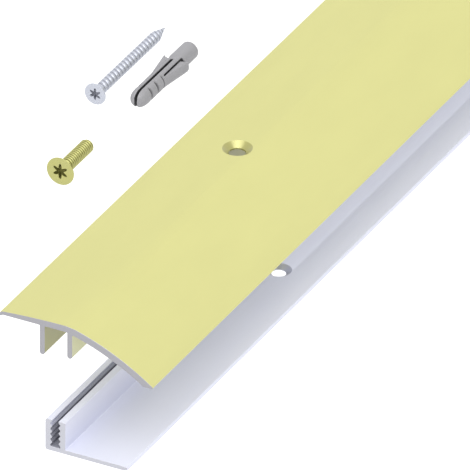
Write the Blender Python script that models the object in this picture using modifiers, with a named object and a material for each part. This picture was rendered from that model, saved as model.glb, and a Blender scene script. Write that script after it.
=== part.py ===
"""Threshold strip for joining two floors of different heights, laid out as an exploded assembly.

A base profile is screwed to the floor through its flange, into wall plugs. Its upright channel
has a toothed slot. A cover profile straddles the channel with two webs and is drawn down by
countersunk screws that bite into the teeth, at whatever height the two floors need. Here the cover
is lifted clear of the base, and one set of fasteners for each hole lies on the floor beside the
strip.

Frame: metres, +Z up. The origin is on the base's underside, below the middle of the slot, halfway
along the strip. +X points down the ramp, towards the lower floor, and +Y runs along the strip.
"""

import math

import bmesh
import bpy
from mathutils import Matrix, Vector

MM = 0.001

# The strip and its rows of holes
STRIP_LENGTH = 1000 * MM
HOLE_COUNT = 5
HOLE_PITCH = STRIP_LENGTH / HOLE_COUNT
FIRST_HOLE_Y = (HOLE_PITCH - STRIP_LENGTH) / 2
COVER_LIFT = 26.2 * MM

# Base profile: a toothed channel with a flange along its foot
CHANNEL_WIDTH = 5.76 * MM
CHANNEL_HEIGHT = 9.2 * MM
CHANNEL_CORNER = 0.6 * MM
FLANGE_REACH = 20.75 * MM
FLANGE_THICKNESS = 1.2 * MM
SLOT_FLOOR = 1.3 * MM
SLOT_MEAN_GAP = 2.36 * MM
TOOTH_DEPTH = 0.5 * MM
TOOTH_PITCH = 1.58 * MM
TOOTH_COUNT = 5
LOWEST_VALLEY = 1.72 * MM
POINTS_PER_TOOTH = 6

# Base holes, in the flange
BASE_HOLE_X = 9.36 * MM
BASE_HOLE_STAGGER = 5.7 * MM
BASE_HOLE_DIAMETER = 3.8 * MM
BASE_SINK_DIAMETER = 6.6 * MM
BASE_SINK_DEPTH = 1.0 * MM

# Cover profile, measured where it sits when it is fully down: a flat wing, two webs and a ramp
WING_UNDERSIDE = 10.25 * MM
WING_CREST_X = 3.0 * MM
WING_CREST_HEIGHT = 12.03 * MM
WING_TOP_RADIUS = 205 * MM
WING_END_X = -14.93 * MM
NOSE_REACH = 1.42 * MM
NOSE_DROP = 1.03 * MM
NOSE_LIP_RADIUS = 0.35 * MM
LIP_RISE = 0.25 * MM
WEB_THICKNESS = 1.42 * MM
LEFT_WEB_INNER_X = -3.1 * MM
LEFT_WEB_FOOT = 1.75 * MM
RIGHT_WEB_INNER_X = 3.4 * MM
RIGHT_WEB_FOOT = 2.65 * MM
RAMP_RADIUS = 70 * MM
RAMP_CENTRE = (-13.18 * MM, -55.75 * MM)
RAMP_THICKNESS = 2.0 * MM
RAMP_START_X = 5.6 * MM
RAMP_FOOT = 0.3 * MM
TIP_CENTRE = (27.7 * MM, 0.65 * MM)
TIP_RADIUS = 0.35 * MM

# Cover holes, over the slot
COVER_HOLE_DIAMETER = 4.5 * MM
COVER_SINK_DIAMETER = 8.05 * MM
COVER_SINK_DEPTH = 1.4 * MM

# Cover screw: countersunk, blunt, cut to bite between the slot's teeth
COVER_SCREW_LENGTH = 15.8 * MM
COVER_SCREW_HEAD = 8.0 * MM
COVER_SCREW_SHANK = 3.5 * MM
COVER_SCREW_POINT = 0.8 * MM
COVER_SCREW_TIP_RADIUS = 1.225 * MM
COVER_RECESS_RADIUS = 2.2 * MM

# Base screw: countersunk, fully threaded, pointed
BASE_SCREW_LENGTH = 39.0 * MM
BASE_SCREW_HEAD = 6.2 * MM
BASE_SCREW_SHANK = 2.6 * MM
BASE_SCREW_POINT = 5.0 * MM
BASE_SCREW_TIP_RADIUS = 0.208 * MM
BASE_RECESS_RADIUS = 1.72 * MM

HEAD_RIM = 0.25 * MM
RECESS_WAIST = 0.55
RECESS_DEPTH = 1.3 * MM

# Wall plug: a split sleeve with two locking tongues and a plain collar at its entry
PLUG_LENGTH = 31.0 * MM
PLUG_DIAMETER = 5.1 * MM
PLUG_BORE = 2.4 * MM
PLUG_BORE_END = 4.0 * MM
PLUG_NOSE = 4.2 * MM
PLUG_SLIT_WIDTH = 0.6 * MM
PLUG_SLIT_LENGTH = 20.9 * MM
TONGUE_ROOT = 13.0 * MM
TONGUE_LENGTH = 10.0 * MM
TONGUE_WIDTH = 3.2 * MM
TONGUE_THICKNESS = 0.9 * MM
TONGUE_CLEARANCE = 0.25 * MM
TONGUE_FLARE = math.radians(8.5)

# Where each set of fasteners lies: head face or plug nose, from its own cover hole
COVER_SCREW_PLACE = (-61.9 * MM, 19.0 * MM)
BASE_SCREW_PLACE = (-73.3 * MM, 59.9 * MM)
PLUG_PLACE = (-62.5 * MM, 62.0 * MM)

HOLE_SEGMENTS = 24
SCREW_SEGMENTS = 16
PLUG_SEGMENTS = 16
WELD = 0.001 * MM


def clear_scene():
    for old in list(bpy.data.objects):
        bpy.data.objects.remove(old, do_unlink=True)


def new_collection(name):
    collection = bpy.data.collections.new(name)
    bpy.context.scene.collection.children.link(collection)
    return collection


def metal_or_plastic(name, colour, roughness, metallic):
    material = bpy.data.materials.new(name)
    material.use_nodes = True
    shader = material.node_tree.nodes["Principled BSDF"]
    shader.inputs["Base Color"].default_value = (*colour, 1.0)
    shader.inputs["Roughness"].default_value = roughness
    shader.inputs["Metallic"].default_value = metallic
    material.diffuse_color = (*colour, 1.0)
    return material


def ellipse_arc(centre, half_width, half_height, start, end, steps):
    """Points from angle start to angle end, in degrees, on an ellipse about centre."""
    turns = [math.radians(start + (end - start) * i / steps) for i in range(steps + 1)]
    return [(centre[0] + half_width * math.cos(t), centre[1] + half_height * math.sin(t)) for t in turns]


def circle_arc(centre, radius, start, end, steps):
    return ellipse_arc(centre, radius, radius, start, end, steps)


def ramp_arc(radius, from_x, to_x, steps):
    """Points at a given radius from the ramp's centre, between two places across the strip."""
    angles = [math.degrees(math.acos((x - RAMP_CENTRE[0]) / radius)) for x in (from_x, to_x)]
    return circle_arc(RAMP_CENTRE, radius, *angles, steps)


def slot_wall(side):
    """The toothed wall of the slot on one side, from the slot's floor up to the channel's top."""
    last_tip = LOWEST_VALLEY + (TOOTH_COUNT - 0.5) * TOOTH_PITCH
    step = TOOTH_PITCH / POINTS_PER_TOOTH
    heights = [SLOT_FLOOR] + [
        LOWEST_VALLEY + i * step for i in range(int((TOOTH_COUNT - 0.5) * POINTS_PER_TOOTH) + 1)
    ] + [CHANNEL_HEIGHT]
    wall = []
    for height in heights:
        phase = 2 * math.pi * (min(height, last_tip) - LOWEST_VALLEY) / TOOTH_PITCH
        gap = SLOT_MEAN_GAP + TOOTH_DEPTH * math.cos(phase)
        wall.append((side * gap / 2, height))
    return wall


def base_outline():
    half = CHANNEL_WIDTH / 2
    left_corner_x = CHANNEL_CORNER - half
    return [
        *circle_arc((left_corner_x, CHANNEL_CORNER), CHANNEL_CORNER, 180, 270, 4),
        (FLANGE_REACH, 0.0),
        (FLANGE_REACH, FLANGE_THICKNESS),
        (half, FLANGE_THICKNESS),
        (half, CHANNEL_HEIGHT),
        *reversed(slot_wall(+1)),
        *slot_wall(-1),
        *circle_arc((left_corner_x, CHANNEL_HEIGHT - CHANNEL_CORNER), CHANNEL_CORNER, 90, 180, 4),
    ]


def web(inner_x, outward, foot, top_left, top_right):
    """One web's outline, left to right, with a round foot. outward is -1 or +1, off the channel."""
    middle = inner_x + outward * WEB_THICKNESS / 2
    radius = WEB_THICKNESS / 2
    foot_arc = circle_arc((middle, foot + radius), radius, 180, 360, 8)
    return [(middle - radius, top_left), *foot_arc, (middle + radius, top_right)]


def cover_outline():
    ramp_under_radius = RAMP_RADIUS - RAMP_THICKNESS
    right_web_outer_x = RIGHT_WEB_INNER_X + WEB_THICKNESS
    web_reach = right_web_outer_x - RAMP_CENTRE[0]
    under_right = RAMP_CENTRE[1] + math.sqrt(ramp_under_radius**2 - web_reach**2)
    foot_x = RAMP_CENTRE[0] + math.sqrt(ramp_under_radius**2 - (RAMP_FOOT - RAMP_CENTRE[1]) ** 2)
    tip_angle = math.degrees(
        math.atan2(TIP_CENTRE[1] - RAMP_CENTRE[1], TIP_CENTRE[0] - RAMP_CENTRE[0])
    )
    tip_x = TIP_CENTRE[0] + TIP_RADIUS * math.cos(math.radians(tip_angle))
    wing_centre = (WING_CREST_X, WING_CREST_HEIGHT - WING_TOP_RADIUS)
    wing_end_angle = 90 + math.degrees(math.asin((WING_CREST_X - WING_END_X) / WING_TOP_RADIUS))
    wing_end_height = wing_centre[1] + WING_TOP_RADIUS * math.sin(math.radians(wing_end_angle))
    nose_centre = (WING_END_X, wing_end_height - NOSE_DROP)
    lip_centre = (WING_END_X - NOSE_REACH + NOSE_LIP_RADIUS, nose_centre[1])
    lip_end_x = lip_centre[0] + 2 * NOSE_LIP_RADIUS
    return [
        *circle_arc(lip_centre, NOSE_LIP_RADIUS, 180, 300, 5),
        (lip_end_x, WING_UNDERSIDE - LIP_RISE / 3),
        (lip_end_x + LIP_RISE, WING_UNDERSIDE),
        *web(LEFT_WEB_INNER_X, -1, LEFT_WEB_FOOT, WING_UNDERSIDE, WING_UNDERSIDE),
        *web(RIGHT_WEB_INNER_X, +1, RIGHT_WEB_FOOT, WING_UNDERSIDE, under_right),
        *ramp_arc(ramp_under_radius, right_web_outer_x, foot_x, 9)[1:],
        *circle_arc(TIP_CENTRE, TIP_RADIUS, -90, tip_angle, 5),
        *ramp_arc(RAMP_RADIUS, tip_x, RAMP_START_X, 12)[1:],
        *circle_arc(wing_centre, WING_TOP_RADIUS, 90, wing_end_angle, 8),
        *ellipse_arc(nose_centre, NOSE_REACH, NOSE_DROP, 90, 180, 6)[1:-1],
    ]


def lobed_outline(radius):
    """Six-lobe driver recess, with a lobe pointing straight up."""
    mean = radius * (1 + RECESS_WAIST) / 2
    swing = radius * (1 - RECESS_WAIST) / 2
    steps = 24
    outline = []
    for i in range(steps):
        turn = 2 * math.pi * i / steps
        reach = mean - swing * math.cos(6 * turn)
        outline.append((reach * math.cos(turn), reach * math.sin(turn)))
    return outline


def flat_solid(name, outline, thickness, collection):
    """Mesh object of a flat outline in local XY, thickened evenly about Z."""
    curve = bpy.data.curves.new(name, "CURVE")
    curve.dimensions = "2D"
    curve.fill_mode = "BOTH"
    curve.extrude = thickness / 2
    spline = curve.splines.new("POLY")
    spline.points.add(len(outline) - 1)
    for point, (x, y) in zip(spline.points, outline):
        point.co = (x, y, 0.0, 1.0)
    spline.use_cyclic_u = True
    drawn = bpy.data.objects.new(name, curve)
    collection.objects.link(drawn)
    return frozen(drawn, collection)


def turned_solid(name, profile, segments, collection):
    """Object that turns (radius, height) points, listed from top to bottom, about Z."""
    mesh = bpy.data.meshes.new(name)
    mesh.from_pydata([(r, 0.0, z) for r, z in profile], [(i, i + 1) for i in range(len(profile) - 1)], [])
    turned = bpy.data.objects.new(name, mesh)
    collection.objects.link(turned)
    screw = turned.modifiers.new("turn", "SCREW")
    screw.steps = screw.render_steps = segments
    screw.use_merge_vertices = True
    screw.merge_threshold = WELD
    return turned


def box_solid(name, size, centre, collection):
    """Box as a mesh object, with its size and place in the mesh."""
    box = bmesh.new()
    bmesh.ops.create_cube(box, size=1.0)
    bmesh.ops.scale(box, vec=size, verts=box.verts)
    bmesh.ops.translate(box, vec=centre, verts=box.verts)
    mesh = bpy.data.meshes.new(name)
    box.to_mesh(mesh)
    box.free()
    made = bpy.data.objects.new(name, mesh)
    collection.objects.link(made)
    return made


def frozen(source, collection):
    """Replaces an object by a welded plain mesh of what it shows, with its name and place kept."""
    bpy.context.view_layer.update()
    shown = source.evaluated_get(bpy.context.evaluated_depsgraph_get())
    mesh = bpy.data.meshes.new_from_object(shown)
    welded = bmesh.new()
    welded.from_mesh(mesh)
    bmesh.ops.remove_doubles(welded, verts=welded.verts, dist=WELD)
    welded.to_mesh(mesh)
    welded.free()
    name, place = source.name, source.matrix_world.copy()
    bpy.data.objects.remove(source, do_unlink=True)
    mesh.name = name
    made = bpy.data.objects.new(name, mesh)
    made.matrix_world = place
    collection.objects.link(made)
    return made


def combine(target, tool, operation):
    """Boolean with the EXACT solver. The tool is kept out of sight."""
    boolean = target.modifiers.new(tool.name, "BOOLEAN")
    boolean.operation = operation
    boolean.solver = "EXACT"
    boolean.object = tool
    tool.hide_render = True
    tool.display_type = "WIRE"


def countersunk_cutter(name, hole_diameter, sink_diameter, sink_depth, thickness, place, cutters):
    """Cutter for one countersunk hole through a plate whose top face is at place."""
    spare = 1.0 * MM
    hole, sink = hole_diameter / 2, sink_diameter / 2
    profile = [
        (0.0, spare),
        (sink, spare),
        (sink, 0.0),
        (hole, -sink_depth),
        (hole, -thickness - spare),
        (0.0, -thickness - spare),
    ]
    cutter = turned_solid(name, profile, HOLE_SEGMENTS, cutters)
    cutter.location = place
    return cutter


def upright_extrusion(name, outline, parts):
    """Profile drawn across the strip and extruded along it."""
    profile = flat_solid(name, outline, STRIP_LENGTH, parts)
    profile.rotation_euler = (math.pi / 2, 0.0, 0.0)
    return profile


def hole_rows():
    return [FIRST_HOLE_Y + i * HOLE_PITCH for i in range(HOLE_COUNT)]


def base_profile(parts, cutters):
    base = upright_extrusion("base_profile", base_outline(), parts)
    for number, y in enumerate(hole_rows(), 1):
        place = (BASE_HOLE_X, y + BASE_HOLE_STAGGER, FLANGE_THICKNESS)
        cutter = countersunk_cutter(
            f"base_hole_{number}", BASE_HOLE_DIAMETER, BASE_SINK_DIAMETER, BASE_SINK_DEPTH,
            FLANGE_THICKNESS, place, cutters,
        )
        combine(base, cutter, "DIFFERENCE")
    return base


def cover_profile(parts, cutters):
    cover = upright_extrusion("cover_profile", cover_outline(), parts)
    cover.location.z = COVER_LIFT
    thickness = WING_CREST_HEIGHT - WING_UNDERSIDE
    for number, y in enumerate(hole_rows(), 1):
        cutter = countersunk_cutter(
            f"cover_hole_{number}", COVER_HOLE_DIAMETER, COVER_SINK_DIAMETER, COVER_SINK_DEPTH,
            thickness, (0.0, y, COVER_LIFT + WING_CREST_HEIGHT), cutters,
        )
        combine(cover, cutter, "DIFFERENCE")
    return cover


def countersunk_screw(name, length, head, shank, point, tip, recess, cutters):
    """Screw along Z, its head face at the origin, with the thread taken at its mean diameter."""
    head_radius, shank_radius = head / 2, shank / 2
    cone_end = -HEAD_RIM - (head_radius - shank_radius)
    profile = [
        (0.0, 0.0),
        (head_radius - HEAD_RIM / 2, 0.0),
        (head_radius, -HEAD_RIM / 2),
        (head_radius, -HEAD_RIM),
        (shank_radius, cone_end),
        (shank_radius, point - length),
        (tip, -length),
        (0.0, -length),
    ]
    screw = turned_solid(name, profile, SCREW_SEGMENTS, cutters)
    socket = flat_solid(name + "_recess", lobed_outline(recess), 2 * RECESS_DEPTH, cutters)
    combine(screw, socket, "DIFFERENCE")
    return frozen(screw, cutters)


def plug_body(cutters):
    """Sleeve along Z with its nose at the origin and its bore open at the far end."""
    radius, bore = PLUG_DIAMETER / 2, PLUG_BORE / 2
    nose = ellipse_arc((0.0, PLUG_NOSE), radius, PLUG_NOSE, 0, -90, 5)
    sleeve_profile = [(0.0, PLUG_LENGTH), (radius, PLUG_LENGTH), *nose]
    sleeve = turned_solid("wall_plug", sleeve_profile, PLUG_SEGMENTS, cutters)
    past_entry = PLUG_LENGTH + bore
    bore_profile = [
        (0.0, past_entry),
        (bore, past_entry),
        (bore, PLUG_BORE_END + bore),
        (0.0, PLUG_BORE_END),
    ]
    cutter = turned_solid("plug_bore", bore_profile, PLUG_SEGMENTS, cutters)
    combine(sleeve, cutter, "DIFFERENCE")
    return sleeve


def plug_tongue(side, cutters):
    """Strip of the sleeve's wall, cut free at its sides and end, and flared about its root."""
    label = "left" if side < 0 else "right"
    radius = PLUG_DIAMETER / 2
    root = TONGUE_ROOT - TONGUE_THICKNESS
    end = TONGUE_ROOT + TONGUE_LENGTH
    size = (2 * TONGUE_THICKNESS, TONGUE_WIDTH, end - root)
    centre = (side * radius, 0.0, (root + end) / 2)
    tongue = box_solid(f"plug_tongue_{label}", size, centre, cutters)
    cylinder = [(0.0, PLUG_LENGTH), (radius, PLUG_LENGTH), (radius, 0.0), (0.0, 0.0)]
    outside = turned_solid(f"plug_outside_{label}", cylinder, PLUG_SEGMENTS, cutters)
    combine(tongue, outside, "INTERSECT")
    tongue = frozen(tongue, cutters)
    hinge = Matrix.Translation(Vector((side * (radius - TONGUE_THICKNESS / 4), 0.0, TONGUE_ROOT)))
    tongue.data.transform(hinge @ Matrix.Rotation(side * TONGUE_FLARE, 4, "Y") @ hinge.inverted())
    return tongue


def wall_plug(cutters):
    """Sleeve with its split, and two tongues that flare away from windows in its sides."""
    sleeve = plug_body(cutters)
    slit_size = (PLUG_SLIT_WIDTH, 2 * PLUG_DIAMETER, 2 * PLUG_SLIT_LENGTH)
    combine(sleeve, box_solid("plug_slit", slit_size, (0.0, 0.0, 0.0), cutters), "DIFFERENCE")
    window_length = TONGUE_LENGTH + TONGUE_CLEARANCE
    window_depth = TONGUE_THICKNESS + TONGUE_CLEARANCE
    window_size = (2 * window_depth, TONGUE_WIDTH + 2 * TONGUE_CLEARANCE, window_length)
    for side in (-1, 1):
        label = "left" if side < 0 else "right"
        window_centre = (side * PLUG_DIAMETER / 2, 0.0, TONGUE_ROOT + window_length / 2)
        window = box_solid(f"plug_window_{label}", window_size, window_centre, cutters)
        combine(sleeve, window, "DIFFERENCE")
        combine(sleeve, plug_tongue(side, cutters), "UNION")
    return frozen(sleeve, cutters)


def lay_copies(pattern, name, place, diameter, turn, parts, material):
    """Lays one copy of a fastener beside each hole, on its side, with its axis along the strip."""
    made = []
    pattern.data.materials.append(material)
    for number, y in enumerate(hole_rows(), 1):
        copy = bpy.data.objects.new(f"{name}_{number}", pattern.data)
        copy.location = (place[0], y + place[1], diameter / 2)
        copy.rotation_euler = (turn, 0.0, 0.0)
        parts.objects.link(copy)
        made.append(copy)
    bpy.data.objects.remove(pattern, do_unlink=True)
    return made


def shade(part, angle=35):
    """Smooth shading, with edges sharper than angle kept crisp."""
    part.data.shade_smooth()
    part.data.set_sharp_from_angle(angle=math.radians(angle))


def main():
    clear_scene()
    parts = new_collection("threshold_strip")
    cutters = new_collection("cutters")

    natural = metal_or_plastic("natural_anodised_aluminium", (0.62, 0.63, 0.70), 0.42, 0.75)
    yellow = metal_or_plastic("yellow_anodised_aluminium", (0.78, 0.77, 0.33), 0.45, 0.45)
    zinc = metal_or_plastic("bright_zinc_plate", (0.62, 0.63, 0.72), 0.30, 0.85)
    brass = metal_or_plastic("yellow_passivated_zinc", (0.60, 0.60, 0.26), 0.34, 0.80)
    nylon = metal_or_plastic("grey_nylon", (0.38, 0.38, 0.40), 0.55, 0.0)

    base = base_profile(parts, cutters)
    base.data.materials.append(natural)
    cover = cover_profile(parts, cutters)
    cover.data.materials.append(yellow)

    cover_screw = countersunk_screw(
        "cover_screw", COVER_SCREW_LENGTH, COVER_SCREW_HEAD, COVER_SCREW_SHANK, COVER_SCREW_POINT,
        COVER_SCREW_TIP_RADIUS, COVER_RECESS_RADIUS, cutters,
    )
    base_screw = countersunk_screw(
        "base_screw", BASE_SCREW_LENGTH, BASE_SCREW_HEAD, BASE_SCREW_SHANK, BASE_SCREW_POINT,
        BASE_SCREW_TIP_RADIUS, BASE_RECESS_RADIUS, cutters,
    )
    plug = wall_plug(cutters)

    head_first, nose_first = math.pi / 2, -math.pi / 2
    laid = [
        (cover_screw, "cover_screw", COVER_SCREW_PLACE, COVER_SCREW_HEAD, head_first, brass),
        (base_screw, "base_screw", BASE_SCREW_PLACE, BASE_SCREW_HEAD, head_first, zinc),
        (plug, "wall_plug", PLUG_PLACE, PLUG_DIAMETER, nose_first, nylon),
    ]
    fasteners = []
    for pattern, name, place, diameter, turn, material in laid:
        fasteners += lay_copies(pattern, name, place, diameter, turn, parts, material)

    assembly = bpy.data.objects.new("strip_assembly", None)
    parts.objects.link(assembly)
    for part in (base, cover, *fasteners):
        shade(part)
        part.parent = assembly


main()
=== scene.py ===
"""Looks for an adjustable threshold strip that is drawn apart over a pale floor.

Two aluminium extrusions, five cover screws, five base screws and five wall plugs are built around
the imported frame. Each sub-assembly is a class with its sizes in millimetres, its own geometry and
its own finishes. The frame gives every place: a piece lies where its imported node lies.
"""

from __future__ import annotations

import logging
import math
from collections.abc import Callable, Sequence
from dataclasses import dataclass, field
from enum import Enum

import bmesh
import bpy
from mathutils import Matrix, Quaternion, Vector

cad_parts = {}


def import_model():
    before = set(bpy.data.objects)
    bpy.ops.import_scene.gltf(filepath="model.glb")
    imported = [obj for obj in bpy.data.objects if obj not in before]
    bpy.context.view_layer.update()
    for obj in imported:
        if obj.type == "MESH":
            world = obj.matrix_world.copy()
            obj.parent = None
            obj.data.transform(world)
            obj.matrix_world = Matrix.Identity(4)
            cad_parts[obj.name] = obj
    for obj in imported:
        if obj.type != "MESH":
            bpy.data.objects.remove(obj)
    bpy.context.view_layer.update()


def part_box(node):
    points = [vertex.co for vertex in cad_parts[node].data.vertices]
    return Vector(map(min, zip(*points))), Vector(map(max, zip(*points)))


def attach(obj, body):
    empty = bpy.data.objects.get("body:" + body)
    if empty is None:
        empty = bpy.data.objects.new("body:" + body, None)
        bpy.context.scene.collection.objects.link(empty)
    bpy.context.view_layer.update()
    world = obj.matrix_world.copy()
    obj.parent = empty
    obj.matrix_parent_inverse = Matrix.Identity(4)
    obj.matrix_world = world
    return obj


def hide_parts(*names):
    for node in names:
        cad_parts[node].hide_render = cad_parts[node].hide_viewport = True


MM = 0.001
WELD = 0.002 * MM
AXIS_CLEARANCE = 0.01 * MM
END_CLEARANCE = 0.05 * MM
Triple = tuple[float, float, float]
Point = tuple[float, float]
log = logging.getLogger("threshold_strip")


class Slot(Enum):
    """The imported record's material slots."""

    NATURAL = "natural_aluminium"
    YELLOW = "yellow_aluminium"
    YELLOW_ZINC = "yellow_zinc"
    BRIGHT_ZINC = "bright_zinc"
    NYLON = "grey_nylon"


# --- Node trees as expressions ---


class Socket:
    """A node's output, with operators that add Math nodes to its tree."""

    def __init__(self, graph: Graph, link: bpy.types.NodeSocket) -> None:
        """Keeps the tree's graph and the output itself."""
        self.graph = graph
        self.link = link

    def __add__(self, other: Socket | float) -> Socket:
        """Sum."""
        return self.graph.maths("ADD", self, other)

    __radd__ = __add__

    def __sub__(self, other: Socket | float) -> Socket:
        """Difference."""
        return self.graph.maths("SUBTRACT", self, other)

    def __rsub__(self, other: float) -> Socket:
        """Difference, from a number."""
        return self.graph.maths("SUBTRACT", other, self)

    def __mul__(self, other: Socket | float) -> Socket:
        """Product."""
        return self.graph.maths("MULTIPLY", self, other)

    __rmul__ = __mul__

    def __truediv__(self, other: Socket | float) -> Socket:
        """Quotient."""
        return self.graph.maths("DIVIDE", self, other)

    def __rtruediv__(self, other: float) -> Socket:
        """Quotient, of a number."""
        return self.graph.maths("DIVIDE", other, self)

    def __pow__(self, power: Socket | float) -> Socket:
        """Power."""
        return self.graph.maths("POWER", self, power)

    def size(self) -> Socket:
        """Absolute value."""
        return self.graph.maths("ABSOLUTE", self)

    def part(self) -> Socket:
        """Fraction above the whole number below."""
        return self.graph.maths("FRACT", self)

    def above(self, limit: Socket | float) -> Socket:
        """One where the value is above the limit, else nought."""
        return self.graph.maths("GREATER_THAN", self, limit)

    def below(self, limit: Socket | float) -> Socket:
        """One where the value is below the limit, else nought."""
        return self.graph.maths("LESS_THAN", self, limit)

    def eased(self, start: Socket | float, end: Socket | float) -> Socket:
        """Rises smoothly from nought at start to one at end.

        Args:
            start: The value where the rise begins.
            end: The value where it has ended.

        Returns:
            The eased value, kept between nought and one.
        """
        values = {"Value": self, 1: start, 2: end, 3: 0.0, 4: 1.0}
        settings = {"interpolation_type": "SMOOTHSTEP", "clamp": True}
        return self.graph.node("ShaderNodeMapRange", settings, values)[0]


class Placed:
    """A node in a tree, whose outputs are read by name or number."""

    def __init__(self, graph: Graph, made: bpy.types.Node) -> None:
        """Keeps the tree's graph and the node."""
        self.graph = graph
        self.made = made

    def __getitem__(self, output: str | int) -> Socket:
        """One output as a socket."""
        return Socket(self.graph, self.made.outputs[output])


class Graph:
    """A node tree that is written as Python expressions."""

    def __init__(self, tree: bpy.types.NodeTree) -> None:
        """Keeps the tree."""
        self.tree = tree

    def node(
        self,
        kind: str,
        settings: dict[str, object] | None = None,
        values: dict[str | int, object] | None = None,
    ) -> Placed:
        """Adds one node, sets it up and then feeds its inputs.

        Args:
            kind: The node's type.
            settings: Its properties by name.
            values: What its inputs get, by name or number: a socket to link, or a value.

        Returns:
            The node that was added.
        """
        made = self.tree.nodes.new(kind)
        for name, setting in (settings or {}).items():
            setattr(made, name, setting)
        for name, value in (values or {}).items():
            if isinstance(value, Socket):
                self.tree.links.new(value.link, made.inputs[name])
            else:
                made.inputs[name].default_value = value
        return Placed(self, made)

    def maths(self, operation: str, *values: Socket | float) -> Socket:
        """Adds a Math node with the given operation on the values."""
        return self.node("ShaderNodeMath", {"operation": operation}, dict(enumerate(values)))[0]

    def scaled(self, vector: Socket | Triple, factor: Socket) -> Socket:
        """Adds a Vector Math node that scales a vector or colour."""
        values = {0: vector, "Scale": factor}
        return self.node("ShaderNodeVectorMath", {"operation": "SCALE"}, values)[0]

    def mixed(self, share: Socket, first: Socket | Triple, second: Socket | Triple) -> Socket:
        """Triple between two others.

        Args:
            share: Nought gives the first colour and one the second.
            first: The first colour.
            second: The second colour.

        Returns:
            The mixed colour.
        """
        ends = [c if isinstance(c, Socket) else (*c, 1.0) for c in (first, second)]
        values = {0: share, 6: ends[0], 7: ends[1]}
        return self.node("ShaderNodeMix", {"data_type": "RGBA"}, values)[2]


# --- Finishes ---


class Shading(Graph):
    """A material's node tree, with the patterns that the finishes share."""

    def __init__(self, name: str) -> None:
        """Starts a material with a Principled shader."""
        self.material = bpy.data.materials.new(name)
        self.material.use_nodes = True
        super().__init__(self.material.node_tree)
        self.shader = self.tree.nodes["Principled BSDF"]
        self.place = self.node("ShaderNodeTexCoord")["Object"]

    def noise(
        self,
        size_mm: float,
        stretch: Triple = (1.0, 1.0, 1.0),
        detail: float = 2.0,
        place: Socket | None = None,
    ) -> Socket:
        """Soft random pattern in the piece's own space.

        Args:
            size_mm: The size of a patch, in millimetres.
            stretch: How much longer a patch is along each axis.
            detail: How many finer layers the pattern has.
            place: Where the pattern is read, if not simply in the piece's own space.

        Returns:
            A value about a half, between nought and one.
        """
        scale = tuple(1.0 / (size_mm * MM * s) for s in stretch)
        values = {0: place or self.place, 1: scale}
        spread = self.node("ShaderNodeVectorMath", {"operation": "MULTIPLY"}, values)[0]
        values = {"Vector": spread, "Scale": 1.0, "Detail": detail}
        return self.node("ShaderNodeTexNoise", values=values)[0]

    def attribute(self, name: str) -> Socket:
        """A named value that the piece's mesh carries."""
        return self.node("ShaderNodeAttribute", {"attribute_name": name})["Fac"]

    def varied(self, middle: float, *patterns: tuple[Socket, float]) -> Socket:
        """A value that patterns carry above and below its middle.

        Args:
            middle: The value where every pattern is a half.
            patterns: Each pattern, and how far it carries the value over its whole range.

        Returns:
            The varied value.
        """
        value = middle
        for pattern, spread in patterns:
            value = value + (pattern - 0.5) * spread
        return value

    def raised(self, height: Socket, depth_mm: float, over: Socket | None = None) -> Socket:
        """Surface normal of a fine relief.

        Args:
            height: The relief, from nought to one.
            depth_mm: How deep the relief is, in millimetres.
            over: The normal of a coarser relief under it.

        Returns:
            The bumped normal.
        """
        values = {"Height": height, "Distance": depth_mm * MM, "Strength": 1.0}
        if over:
            values["Normal"] = over
        return self.node("ShaderNodeBump", values=values)["Normal"]

    def surface(self, **inputs: object) -> bpy.types.Material:
        """Feeds the shader and gives the finished material.

        Args:
            inputs: The shader's inputs, with an underscore for a space.

        Returns:
            The material.
        """
        for name, value in inputs.items():
            socket = self.shader.inputs[name.replace("_", " ")]
            if isinstance(value, Socket):
                self.tree.links.new(value.link, socket)
            else:
                socket.default_value = (*value, 1.0) if isinstance(value, tuple) else value
        return self.material


@dataclass(frozen=True)
class AnodisedExtrusion:
    """Satin anodised skin with the fine lines that the die leaves along the strip."""

    name: str
    colour: Triple
    worn_colour: Triple
    metallic: float
    roughness: float
    line_mm: float = 0.35
    line_stretch: float = 400.0
    line_depth_mm: float = 0.004
    grain_mm: float = 0.09
    grain_depth_mm: float = 0.003
    patch_mm: float = 7.0
    patch_stretch: float = 3.0
    unevenness: float = 0.035
    least_rub: float = 0.45
    patchy_rub: float = 0.5
    # Painted shade: how strongly, and in what dark colour, the skin is darkened where the mesh
    # marks it.
    painted_shade_share: float = 0.8
    painted_shade_colour: Triple = (0.13, 0.13, 0.15)

    def material(self) -> bpy.types.Material:
        """Builds the skin: patchy dye, die lines, etched grain, rubbed corners and painted shade
        where the mesh marks it.
        """
        skin = Shading(self.name)
        lines = skin.noise(self.line_mm, (1.0, self.line_stretch, 1.0))
        patches = skin.noise(self.patch_mm, (1.0, self.patch_stretch, 1.0), detail=4.0)
        grain = skin.noise(self.grain_mm, detail=3.0)
        tone = skin.varied(1.0, (patches, 2 * self.unevenness), (lines, self.unevenness))
        rubbed = skin.attribute("rub") * (self.least_rub + self.patchy_rub * patches)
        # Painted shade: darkens and roughens the skin where the outline marks it, deep in the
        # base's slot.
        grime = skin.attribute("grime") * self.painted_shade_share
        worn = skin.mixed(rubbed, skin.scaled(self.colour, tone), self.worn_colour)
        uneven = skin.varied(self.roughness, (lines, 0.12), (grain, 0.08))
        relief = skin.raised(lines, self.line_depth_mm)
        return skin.surface(
            Base_Color=skin.mixed(grime, worn, self.painted_shade_colour),
            Metallic=self.metallic,
            Roughness=uneven - rubbed * 0.08 + grime * 0.2,
            Normal=skin.raised(grain, self.grain_depth_mm, over=relief),
        )


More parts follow.
